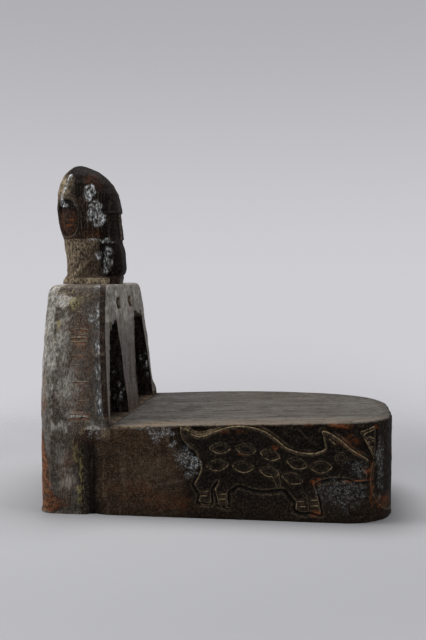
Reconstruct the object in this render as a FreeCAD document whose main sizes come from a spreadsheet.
import FreeCAD, Part
import math
import operator
import os
import types
import Sketcher

# A low carved seat for one sitter, cut from three blocks of hardwood.
# The seat block lies along X, with its free end at +X and its straight side at -Y.
# The back block stands at the rear end as a figure's chest and arms, and laps over the seat block.
# The head and neck stand on the shoulders. Hidden loose tenons hold the three blocks together.
# Millimetres, +Z up, with the origin under the middle of the whole seat, on the floor.

SIZES = {
    # the whole seat
    "seat_run": 714,
    "seat_width": 493,
    "total_height": 720,
    "head_overhang": 21,
    "overrun": 20,
    # the seat block
    "seat_rear_height": 181,
    "seat_front_height": 202,
    "near_corner_radius": 100,
    "front_flat_width": 105,
    "far_side_bow": 23,
    "rim_round": 7,
    "lap_housing": 8,
    # the back block
    "back_foot_depth": 106,
    "back_base_depth": 152,
    "back_top_depth": 129,
    "back_height": 461,
    "side_radius": 640,
    "near_shoulder_radius": 34,
    "far_shoulder_radius": 60,
    "back_corner_round": 26,
    "arm_facet": 11,
    "seam_valley": 9,
    # the two recesses that leave the arms and the chest column standing
    "recess_depth": 45,
    "shoulder_band": 65,
    "arm_foot_width": 38,
    "arm_top_width": 42,
    "column_width": 132,
    "column_foot_flare": 10,
    "column_top_flare": 26,
    "recess_corner_round": 14,
    # the head block with its neck
    "neck_depth": 104,
    "neck_width": 108,
    "neck_set_in": 16,
    "collar_height": 7,
    "collar_margin": 7,
    "collar_corner_round": 16,
    "chin_clearance": 20,
    "head_depth": 146,
    "head_width": 132,
    "jaw_depth": 46,
    "jaw_width": 84,
    "nose_width": 24,
    "nose_rise": 13,
    "eye_width": 30,
    "eye_height": 13,
    "eye_spacing": 54,
    "mouth_width": 44,
    "mouth_height": 7,
    "face_cut": 7,
    "ear_hollow_width": 50,
    "ear_hollow_depth": 9,
    "ear_hollow_lift": 7,
    "ear_hollow_inset": 12,
    # the hidden joinery
    "tenon_length": 84,
    "tenon_width": 62,
    "tenon_thickness": 26,
    "tenon_spacing": 250,
    "tenon_level": 88,
    "neck_tenon_side": 42,
    "neck_tenon_length": 90,
    "end_room": 1,
}

# Sections of the head from the hair's lower edge to the crown: how high each lies between the two,
# how far its rear and front stand from the rearmost point, and how wide it is.
HEAD_SECTION_SHARES = (
    (0.00, 0.10, 0.86, 0.86),
    (0.11, 0.055, 0.93, 0.93),
    (0.24, 0.02, 0.975, 0.98),
    (0.45, 0.00, 0.99, 1.00),
    (0.64, 0.01, 0.94, 0.97),
    (0.77, 0.04, 0.86, 0.88),
    (0.87, 0.09, 0.76, 0.75),
    (0.94, 0.16, 0.65, 0.58),
    (0.98, 0.24, 0.55, 0.40),
    (1.00, 0.33, 0.45, 0.20),
)
# Sections of the face below the hair, from the chin up: height between chin and brow, how far the
# front stands back from the head's foremost point, and width.
JAW_SECTION_SHARES = (
    (0.00, 0.10, 0.72),
    (0.10, 0.045, 0.87),
    (0.26, 0.01, 1.02),
    (0.55, 0.00, 1.20),
    (1.00, 0.02, 1.34),
)
# Levels between the chin and the crown.
MOUTH_SHARE = 0.229
NOSE_FOOT_SHARE = 0.317
HAIR_SHARE = 0.314
EYES_SHARE = 0.506
BROW_SHARE = 0.56
# The ear hollow's height against the hair's, and how far up the hollow its arch springs.
EAR_HOLLOW_SHARE = 0.476
EAR_ARCH_SHARE = 0.68
# How far an oval's arcs bow towards the corners of its box: a true ellipse has 0.707.
OVAL_SHARE = 0.735
# The head is worked in flat facets. Their corners lie on an oval a little fuller than an ellipse,
# whose power is 1 in this measure.
HEAD_FACETS = 20
FULLNESS_SHARE = 0.89
# Where along the seat its bowed far side is widest, from the seam to the front.
WIDEST_SHARE = 0.2845
# Where a recess is widest beside the column, from the seat up to the recess's top.
WAIST_SHARE = 0.33
# How near to a plane an edge has to lie to count as in it, as a share of the overrun.
CLOSE_SHARE = 0.01


class Size:
    """A length or share that knows its number and the spreadsheet expression it comes from."""

    def __init__(self, number, text):
        self.number = number
        self.text = text

    def __add__(self, other):
        return combined(self, "+", other)

    def __radd__(self, other):
        return combined(other, "+", self)

    def __sub__(self, other):
        return combined(self, "-", other)

    def __rsub__(self, other):
        return combined(other, "-", self)

    def __mul__(self, other):
        return combined(self, "*", other)

    def __rmul__(self, other):
        return combined(other, "*", self)

    def __truediv__(self, other):
        return combined(self, "/", other)

    def __neg__(self):
        return combined(-1, "*", self)

    def root(self):
        """The square root, for a side of a right triangle."""
        return Size(math.sqrt(self.number), "sqrt(%s)" % self.text)


SIGNS = {"+": operator.add, "-": operator.sub, "*": operator.mul, "/": operator.truediv}


def as_size(thing):
    """A plain share as a Size, and a Size as it is."""
    return thing if isinstance(thing, Size) else Size(thing, "(%.9f)" % thing)


def combined(left, sign, right):
    """The sum, difference, product or quotient of two sizes."""
    left, right = as_size(left), as_size(right)
    number = SIGNS[sign](left.number, right.number)
    return Size(number, "(%s %s %s)" % (left.text, sign, right.text))


def open_sheet(doc):
    """The spreadsheet of driving sizes, and each of them as a Size."""
    sheet = doc.addObject("Spreadsheet::Sheet", "Sizes")
    for row, (name, number) in enumerate(SIZES.items(), 1):
        sheet.set("A%d" % row, name)
        sheet.set("B%d" % row, "%s" % number)
        sheet.setAlias("B%d" % row, name)
    doc.recompute()
    return types.SimpleNamespace(
        **{name: Size(float(sheet.get(name)), "Sizes." + name) for name in SIZES}
    )


doc = FreeCAD.newDocument("carved_seat")
s = open_sheet(doc)

# Places that several pieces share.
ZERO = as_size(0)
REAR = (s.head_overhang - s.seat_run) / 2
FRONT = REAR + s.seat_run
NEAR = -s.seat_width / 2
SEAM = REAR + s.back_foot_depth
BACK_FRONT = REAR + s.back_base_depth
BACK_WIDTH = s.seat_width - s.far_side_bow
BACK_FAR = NEAR + BACK_WIDTH
MIDDLE = NEAR + BACK_WIDTH / 2
HEAD_REAR = REAR - s.head_overhang
HEAD_FRONT = HEAD_REAR + s.head_depth
NECK_CENTRE = REAR + s.neck_depth / 2
LAP = s.seat_rear_height - s.lap_housing
CHIN = s.back_height + s.chin_clearance
HAIR_EDGE = CHIN + (s.total_height - CHIN) * HAIR_SHARE
CLOSE = s.overrun.number * CLOSE_SHARE


def new_body(name):
    """An empty body that carries its node's name."""
    body = doc.addObject("PartDesign::Body", name)
    body.Label = name
    return body


def origin_plane(body, role):
    """One of the body's own origin planes."""
    return next(plane for plane in body.Origin.OriginFeatures if plane.Role == role)


def place_point(drawn, curve, end, point):
    """Ties a point of the sketch to its two sizes."""
    for kind, size in zip(("DistanceX", "DistanceY"), point):
        index = drawn.addConstraint(Sketcher.Constraint(kind, -1, 1, curve, end, size.number))
        drawn.setExpression("Constraints[%d]" % index, size.text)


def outline(body, name, plane, offset, route):
    """A closed outline in a plane of the body.

    Each entry of the route is the corner where a stretch starts, and for an arc also the point
    that the arc passes through on its way to the next corner.
    """
    drawn = body.newObject("Sketcher::SketchObject", name)
    drawn.AttachmentSupport = [(origin_plane(body, plane), "")]
    drawn.MapMode = "FlatFace"
    drawn.setExpression("AttachmentOffset.Base.z", offset.text)
    flat = [[FreeCAD.Vector(x.number, y.number, 0) for x, y in stretch] for stretch in route]
    ends = []
    for stretch, vectors, after in zip(route, flat, flat[1:] + flat[:1]):
        start, finish = vectors[0], after[0]
        if len(vectors) == 1:
            curve = drawn.addGeometry(Part.LineSegment(start, finish))
        else:
            curve = drawn.addGeometry(Part.Arc(start, vectors[1], finish))
            passed = drawn.addGeometry(Part.Point(vectors[1]), True)
            place_point(drawn, passed, 1, [as_size(value) for value in stretch[1]])
            drawn.addConstraint(Sketcher.Constraint("PointOnObject", passed, 1, curve))
        first = min((1, 2), key=lambda end: drawn.getPoint(curve, end).distanceToPoint(start))
        ends.append((curve, first, 3 - first))
        place_point(drawn, curve, first, [as_size(value) for value in stretch[0]])
    for (curve, _, last), (following, first, _) in zip(ends, ends[1:] + ends[:1]):
        drawn.addConstraint(Sketcher.Constraint("Coincident", curve, last, following, first))
    return drawn


def corners(*points):
    """A route of straight stretches through the corners."""
    return [[tuple(as_size(value) for value in point)] for point in points]


def rectangle(low_x, high_x, low_y, high_y):
    """A route round a rectangle."""
    return corners((low_x, low_y), (high_x, low_y), (high_x, high_y), (low_x, high_y))


def oval(rear, front, half_width, centre):
    """A route of four arcs round an oval that is longest from rear to front."""
    middle = (rear + front) / 2
    bow = (front - rear) / 2 * OVAL_SHARE
    swell = half_width * OVAL_SHARE
    return [
        [(rear, centre), (middle - bow, centre - swell)],
        [(middle, centre - half_width), (middle + bow, centre - swell)],
        [(front, centre), (middle + bow, centre + swell)],
        [(middle, centre + half_width), (middle - bow, centre + swell)],
    ]


def faceted_oval(rear, front, half_width, centre):
    """A route of straight facets round an oval. The facets at its four ends touch its box."""

    def fuller(share):
        return math.copysign(abs(share) ** FULLNESS_SHARE, share)

    middle, half_depth = (rear + front) / 2, (front - rear) / 2
    end = fuller(math.cos(math.pi / HEAD_FACETS))
    turns = [math.pi * (2 * number + 1) / HEAD_FACETS for number in range(HEAD_FACETS)]
    return corners(*[
        (
            middle + half_depth * (fuller(math.cos(turn)) / end),
            centre + half_width * (fuller(math.sin(turn)) / end),
        )
        for turn in turns
    ])


def extrude(body, kind, name, profile, length, reverse=False, both_ways=False):
    """A Pad or Pocket of an outline, which has to add or take away material."""
    before = body.Shape.Volume if body.Tip else 0
    feature = body.newObject("PartDesign::" + kind, name)
    feature.Profile = profile
    feature.setExpression("Length", length.text)
    feature.Reversed = reverse
    feature.SideType = "Symmetric" if both_ways else "One side"
    settle(body, feature, before, kind == "Pocket")
    return feature


def settle(body, feature, before, takes_away):
    """Recomputes a feature and makes sure that it worked and went the right way."""
    doc.recompute()
    change = body.Shape.Volume - before
    if "Invalid" in feature.State or (change >= 0 if takes_away else change <= 0):
        raise RuntimeError("%s does not change %s as it should" % (feature.Name, body.Label))


def loft(body, name, sections):
    """A solid drawn straight from each outline to the next, as a carver works in bands of cuts."""
    before = body.Shape.Volume if body.Tip else 0
    feature = body.newObject("PartDesign::AdditiveLoft", name)
    feature.Profile = sections[0]
    feature.Sections = sections[1:]
    feature.Ruled = True
    settle(body, feature, before, False)
    return feature


def ease(body, kind, name, size, chosen):
    """A Fillet or Chamfer on the edges that the test picks."""
    base = body.Tip
    names = [
        "Edge%d" % number for number, edge in enumerate(base.Shape.Edges, 1) if chosen(edge)
    ]
    feature = body.newObject("PartDesign::" + kind, name)
    feature.Base = (base, names)
    feature.setExpression("Radius" if kind == "Fillet" else "Size", size.text)
    settle(body, feature, base.Shape.Volume, True)
    return feature


def lies_at(edge, **places):
    """Whether an edge lies in each of the named planes, such as x=..., y=..., z=..."""
    box = edge.BoundBox
    reach = {"x": (box.XMin, box.XMax), "y": (box.YMin, box.YMax), "z": (box.ZMin, box.ZMax)}
    return all(
        abs(value - size.number) < CLOSE for axis, size in places.items() for value in reach[axis]
    )


def cut_valley(body, inward):
    """Takes the sharp corner off the seam on the straight side, so the joint lies in a valley.

    Inward is 1 for the block on the +X side of the seam, and -1 for the one behind it.
    """
    leg = s.seam_valley + s.overrun
    corner = (SEAM - s.overrun * inward, NEAR - s.overrun)
    route = corners(corner, (corner[0] + (leg + s.overrun) * inward, corner[1]),
                    (corner[0], corner[1] + leg + s.overrun))
    triangle = outline(body, body.Name + "_valley_plan", "XY_Plane", ZERO, route)
    extrude(body, "Pocket", body.Name + "_valley", triangle, LAP, True)


# Seat block

def seat_outline():
    """The plan of the seat: one straight side, two round front corners and a bowed far side.

    The bow runs from the back's far edge, is widest part of the way along, and then goes over
    into the far corner's arc, which touches both the bow and the flat front.
    """
    corner = s.near_corner_radius
    turn = corner * (1 - math.sqrt(0.5))
    far = NEAR + s.seat_width
    flat_end = NEAR + corner + s.front_flat_width
    behind = (FRONT - SEAM) * WIDEST_SHARE
    ahead = FRONT - SEAM - behind
    bow = (behind * behind / s.far_side_bow + s.far_side_bow) / 2
    drop = far - flat_end - bow
    far_corner = (bow * bow - ahead * ahead - drop * drop) / ((bow - ahead) * 2)
    pivot = FRONT - far_corner
    reach = bow - far_corner
    lean_out, lean_up = (ahead - far_corner) / reach, -drop / reach
    stretch = ((lean_out + 1) * 2).root()
    return [
        [(SEAM, NEAR)],
        [(FRONT - corner, NEAR), (FRONT - turn, NEAR + turn)],
        [(FRONT, NEAR + corner)],
        [
            (FRONT, flat_end),
            (
                pivot + far_corner * (lean_out + 1) / stretch,
                flat_end + far_corner * lean_up / stretch,
            ),
        ],
        [(pivot + far_corner * lean_out, flat_end + far_corner * lean_up), (SEAM + behind, far)],
        [(SEAM, BACK_FAR)],
    ]


def seat_top(place):
    """The level of the seat's top, which rises gently from the back's foot to the front."""
    slope = (s.seat_front_height - s.seat_rear_height) / (FRONT - BACK_FRONT)
    return s.seat_rear_height + slope * (place - BACK_FRONT)


def seat_profile():
    """The waste above the seat."""
    top = s.seat_front_height + s.seat_rear_height + s.overrun
    start, end = SEAM - s.overrun, FRONT + s.overrun
    return corners((start, seat_top(start)), (end, seat_top(end)), (end, top), (start, top))


def tenon_places():
    """Where the two seat tenons stand across the seam, by name."""
    return {
        "near": MIDDLE - s.tenon_spacing / 2,
        "far": MIDDLE + s.tenon_spacing / 2,
    }


def mortises(body, reverse):
    """The two mortises of a seam face."""
    depth = s.tenon_length / 2 + s.end_room
    for name, centre in tenon_places().items():
        route = rectangle(
            centre - s.tenon_width / 2,
            centre + s.tenon_width / 2,
            s.tenon_level - s.tenon_thickness / 2,
            s.tenon_level + s.tenon_thickness / 2,
        )
        mouth = outline(body, "%s_%s_mouth" % (body.Name, name), "YZ_Plane", SEAM, route)
        extrude(body, "Pocket", "%s_%s_mortise" % (body.Name, name), mouth, depth, reverse)


def build_seat_block():
    body = new_body("seat_block")
    plan = outline(body, "seat_plan", "XY_Plane", ZERO, seat_outline())
    extrude(body, "Pad", "seat_blank", plan, s.seat_front_height + s.seat_rear_height)
    waste = outline(body, "seat_waste", "XZ_Plane", ZERO, seat_profile())
    extrude(body, "Pocket", "seat_crowned", waste, s.seat_width * 2, both_ways=True)
    ease(body, "Fillet", "seat_rim", s.rim_round, on_seat_rim)
    housing = outline(body, "lap_housing", "XY_Plane", LAP, housing_plan())
    extrude(body, "Pocket", "seat_housed", housing, s.seat_front_height, True)
    cut_valley(body, 1)
    mortises(body, True)
    return body


def housing_plan():
    """The ledge that takes the back's lap. Its front wall follows the facets of the arms."""
    start, behind_facet = SEAM - s.overrun, BACK_FRONT - s.arm_facet
    near, far = NEAR - s.overrun, BACK_FAR + s.far_side_bow + s.overrun
    return corners(
        (start, near),
        (behind_facet, near),
        (behind_facet, NEAR),
        (BACK_FRONT, NEAR + s.arm_facet),
        (BACK_FRONT, BACK_FAR - s.arm_facet),
        (behind_facet, BACK_FAR),
        (behind_facet, far),
        (start, far),
    )


def on_seat_rim(edge):
    """Whether an edge is part of the rim of the seat's top. Its rear edge is left sharp."""
    points = [vertex.Point for vertex in edge.Vertexes]
    on_top = all(abs(point.z - seat_top(point.x).number) < CLOSE for point in points)
    return on_top and any(point.x > SEAM.number + CLOSE for point in points)


# Back block

def side_inset(height):
    """How far the sides of the back have drawn in at a height above the seat's rear."""
    return s.side_radius - (s.side_radius * s.side_radius - height * height).root()


def shoulder(edge, inward, radius):
    """One shoulder of the back's outline, which touches both the drawn-in side and the top.

    Gives the point in the middle of the side's arc, then the shoulder's start, middle and end.
    Inward is 1 where the block lies on the +Y side of the edge, and -1 on the other.
    """
    side, level = s.side_radius, s.seat_rear_height
    rise = s.back_height - radius - level
    reach = side - radius
    across = (reach * reach - rise * rise).root()
    centre = side - across
    lean_in, lean_up = across / reach, rise / reach
    stretch = ((lean_up + 1) * 2).root()

    def at(inset, height):
        return (edge + inset * inward, height)

    return (
        at(side_inset(rise / 2), level + rise / 2),
        at(centre - radius * lean_in, level + rise + radius * lean_up),
        at(centre - radius * lean_in / stretch, level + rise + radius * (lean_up + 1) / stretch),
        at(centre, s.back_height),
    )


def back_outline():
    """The back from the front: upright to the seat, then drawn in smoothly to round shoulders."""
    near_side, near_start, near_turn, near_end = shoulder(NEAR, 1, s.near_shoulder_radius)
    far_side, far_start, far_turn, far_end = shoulder(BACK_FAR, -1, s.far_shoulder_radius)
    return [
        [(NEAR, ZERO)],
        [(BACK_FAR, ZERO)],
        [(BACK_FAR, s.seat_rear_height), far_side],
        [far_start, far_turn],
        [far_end],
        [near_end, near_turn],
        [near_start, near_side],
        [(NEAR, s.seat_rear_height)],
    ]


def chest_front(height):
    """Where the chest's leaning front stands at a height. It meets the seat at the full depth."""
    lean = (s.back_base_depth - s.back_top_depth) / (s.back_height - LAP)
    return BACK_FRONT - (height - LAP) * lean


def recess_outline(side):
    """One recess between an arm and the chest column, seen from the front. Side is -1 or 1."""
    half = BACK_WIDTH / 2
    bottom, top = s.seat_rear_height, s.back_height - s.shoulder_band
    arm_top_level = top - s.recess_corner_round
    middle = (bottom + arm_top_level) / 2
    arm_foot = half - s.arm_foot_width
    arm_middle = half - side_inset(middle - bottom) - (s.arm_foot_width + s.arm_top_width) / 2
    arm_top = half - side_inset(arm_top_level - bottom) - s.arm_top_width
    waist = s.column_width / 2
    waist_level = bottom + (top - bottom) * WAIST_SHARE

    def at(distance, height):
        return (MIDDLE + distance * side, height)

    return [
        [at(arm_foot, bottom), at(arm_middle, middle)],
        [at(arm_top, arm_top_level)],
        [at(waist + s.column_top_flare, top), at(waist, waist_level)],
        [at(waist + s.column_foot_flare, bottom)],
    ]


def build_back_block():
    body = new_body("back_block")
    front_view = outline(body, "back_front_view", "YZ_Plane", REAR, back_outline())
    blank_depth = s.back_base_depth + s.back_top_depth
    extrude(body, "Pad", "back_blank", front_view, blank_depth)
    ease(
        body, "Fillet", "back_rear_round", s.back_corner_round,
        lambda edge: lies_at(edge, x=REAR) and edge.BoundBox.ZMax > CLOSE,
    )
    beyond, floor, top = REAR + blank_depth + s.overrun, -s.overrun, s.back_height + s.overrun
    waste = corners(
        (chest_front(floor), floor), (beyond, floor), (beyond, top), (chest_front(top), top)
    )
    front_waste = outline(body, "chest_waste", "XZ_Plane", ZERO, waste)
    extrude(body, "Pocket", "chest_leaned", front_waste, s.seat_width * 2, both_ways=True)
    ease(body, "Chamfer", "arm_facets", s.arm_facet, on_chest_rim)
    notch = outline(body, "seat_notch", "XZ_Plane", ZERO, rectangle(SEAM, beyond, floor, LAP))
    extrude(body, "Pocket", "back_lapped", notch, s.seat_width * 2, both_ways=True)
    cut_valley(body, -1)
    for name, side in (("near", -1), ("far", 1)):
        mouth = outline(body, name + "_recess_mouth", "YZ_Plane", BACK_FRONT, recess_outline(side))
        extrude(body, "Pocket", name + "_recess", mouth, s.recess_depth)
    mortises(body, False)
    cut_square_mortise(body, s.back_height, False)
    return body


def on_chest_rim(edge):
    """Whether an edge is part of the rim of the leaning chest, other than its foot."""
    points = [vertex.Point for vertex in edge.Vertexes]
    in_front = all(abs(point.x - chest_front(point.z).number) < CLOSE for point in points)
    return in_front and any(point.z > CLOSE for point in points)


def cut_square_mortise(body, level, upward):
    """The mortise for the neck's tenon, down from the shoulders or up into the neck."""
    half = s.neck_tenon_side / 2
    route = rectangle(NECK_CENTRE - half, NECK_CENTRE + half, MIDDLE - half, MIDDLE + half)
    mouth = outline(body, body.Name + "_neck_mouth", "XY_Plane", level, route)
    depth = s.neck_tenon_length / 2 + s.end_room
    extrude(body, "Pocket", body.Name + "_neck_mortise", mouth, depth, upward)


# Head block

def build_head():
    body = new_body("head")
    add_neck(body)
    add_skull(body)
    add_face(body)
    add_ear_hollows(body)
    cut_square_mortise(body, s.back_height, True)
    return body


def add_neck(body):
    """The collar that stands on the shoulders, and the oval neck above it."""
    collar = rectangle(
        REAR,
        REAR + s.neck_depth + s.collar_margin,
        MIDDLE - s.neck_width / 2 - s.collar_margin,
        MIDDLE + s.neck_width / 2 + s.collar_margin,
    )
    foot = outline(body, "collar_plan", "XY_Plane", s.back_height, collar)
    extrude(body, "Pad", "collar", foot, s.collar_height)
    ease(
        body, "Fillet", "collar_corners", s.collar_corner_round,
        lambda edge: edge.BoundBox.ZLength > s.collar_height.number / 2,
    )
    route = oval(REAR, REAR + s.neck_depth, s.neck_width / 2, MIDDLE)
    plan = outline(body, "neck_plan", "XY_Plane", s.back_height + s.collar_height, route)
    neck_height = HAIR_EDGE + s.neck_set_in - s.back_height - s.collar_height
    extrude(body, "Pad", "neck", plan, neck_height)


def add_skull(body):
    """The cap of hair and the skull, drawn through ovals from the hair's edge to the crown."""
    sections = []
    for number, (level, rear, front, width) in enumerate(HEAD_SECTION_SHARES):
        height = HAIR_EDGE + (s.total_height - HAIR_EDGE) * level
        route = faceted_oval(
            HEAD_REAR + s.head_depth * rear,
            HEAD_REAR + s.head_depth * front,
            s.head_width / 2 * width,
            MIDDLE,
        )
        sections.append(outline(body, "skull_plan_%d" % number, "XY_Plane", height, route))
    loft(body, "skull", sections)


def add_face(body):
    """The face in front of the neck, its nose, and the cuts of its eyes and mouth."""
    rise = s.total_height - CHIN
    brow = CHIN + rise * BROW_SHARE
    sections = []
    for number, (level, setback, width) in enumerate(JAW_SECTION_SHARES):
        height = CHIN + (brow - CHIN) * level
        front = HEAD_FRONT - s.jaw_depth * setback
        route = faceted_oval(front - s.jaw_depth, front, s.jaw_width / 2 * width, MIDDLE)
        sections.append(outline(body, "jaw_plan_%d" % number, "XY_Plane", height, route))
    loft(body, "jaw", sections)
    nose_foot = CHIN + rise * NOSE_FOOT_SHARE
    nose = corners(
        (HEAD_FRONT - s.jaw_depth / 2, brow),
        (HEAD_FRONT, brow),
        (HEAD_FRONT + s.nose_rise, nose_foot + s.nose_rise / 2),
        (HEAD_FRONT, nose_foot),
        (HEAD_FRONT - s.jaw_depth / 2, nose_foot),
    )
    side_view = outline(body, "nose_side_view", "XZ_Plane", -MIDDLE, nose)
    extrude(body, "Pad", "nose", side_view, s.nose_width, both_ways=True)
    eye_level = CHIN + rise * EYES_SHARE
    for name, side in (("near", -1), ("far", 1)):
        centre = MIDDLE + s.eye_spacing / 2 * side
        lens = lens_route(centre, eye_level, s.eye_width / 2, s.eye_height / 2)
        cut_from_front(body, name + "_eye", lens)
    lips = lens_route(
        MIDDLE, CHIN + rise * MOUTH_SHARE, s.mouth_width / 2, s.mouth_height / 2
    )
    cut_from_front(body, "mouth", lips)


def lens_route(centre, level, half_width, half_height):
    """A route of two arcs round a lens."""
    return [
        [(centre - half_width, level), (centre, level - half_height)],
        [(centre + half_width, level), (centre, level + half_height)],
    ]


def cut_from_front(body, name, route):
    """A shallow cut into the face."""
    reach = s.nose_rise + s.overrun
    mouth = outline(body, name + "_outline", "YZ_Plane", HEAD_FRONT + reach, route)
    extrude(body, "Pocket", name, mouth, reach + s.face_cut)


def add_ear_hollows(body):
    """The arched hollow in the hair on each side, where the ear would be."""
    rear = HEAD_REAR + s.ear_hollow_inset
    front = rear + s.ear_hollow_width
    bottom = HAIR_EDGE + s.ear_hollow_lift
    height = (s.total_height - HAIR_EDGE) * EAR_HOLLOW_SHARE
    top = bottom + height
    middle = (rear + front) / 2
    arch = bottom + height * EAR_ARCH_SHARE
    foot = top - height * EAR_ARCH_SHARE
    route = [
        [(rear, arch), (middle, top)],
        [(front, arch)],
        [(front, foot), (middle, bottom)],
        [(rear, foot)],
    ]
    for name, side in (("near", -1), ("far", 1)):
        plane = MIDDLE + (s.head_width / 2 - s.ear_hollow_depth) * side
        mouth = outline(body, name + "_ear_outline", "XZ_Plane", -plane, route)
        extrude(body, "Pocket", name + "_ear_hollow", mouth, s.overrun, side == -1)


# Hidden joinery

def build_tenon(name, low, high):
    """A loose tenon as a plain box between two corners."""
    tenon = doc.addObject("Part::Box", name)
    tenon.Label = name
    for side, place, start, end in zip(("Length", "Width", "Height"), "xyz", low, high):
        tenon.setExpression(side, (end - start).text)
        tenon.setExpression("Placement.Base." + place, start.text)
    return tenon


def build_tenons():
    """The two flat tenons across the seam and the square one up into the neck."""
    half_length, half_side = s.tenon_length / 2, s.neck_tenon_side / 2
    tenons = [
        build_tenon(
            "%s_seat_tenon" % name,
            (SEAM - half_length, centre - s.tenon_width / 2, s.tenon_level - s.tenon_thickness / 2),
            (SEAM + half_length, centre + s.tenon_width / 2, s.tenon_level + s.tenon_thickness / 2),
        )
        for name, centre in tenon_places().items()
    ]
    reach = s.neck_tenon_length / 2
    tenons.append(
        build_tenon(
            "neck_tenon",
            (NECK_CENTRE - half_side, MIDDLE - half_side, s.back_height - reach),
            (NECK_CENTRE + half_side, MIDDLE + half_side, s.back_height + reach),
        )
    )
    return tenons


nodes = [build_seat_block(), build_back_block(), build_head()] + build_tenons()
doc.recompute()
for item in doc.Objects:
    if "Invalid" in item.State or "Error" in item.State:
        raise RuntimeError("%s did not recompute: %s" % (item.Name, item.State))
for node in nodes:
    if node.Shape.isNull() or not node.Shape.isValid() or len(node.Shape.Solids) != 1:
        raise RuntimeError("%s is not one valid solid" % node.Label)
    node.Shape.exportStep("parts/%s.step" % node.Label)
    box = node.Shape.BoundBox
    print("%-18s %8.1f cm3  x %.1f %.1f  y %.1f %.1f  z %.1f %.1f" % (
        node.Label, node.Shape.Volume / 1000, box.XMin, box.XMax, box.YMin, box.YMax,
        box.ZMin, box.ZMax))
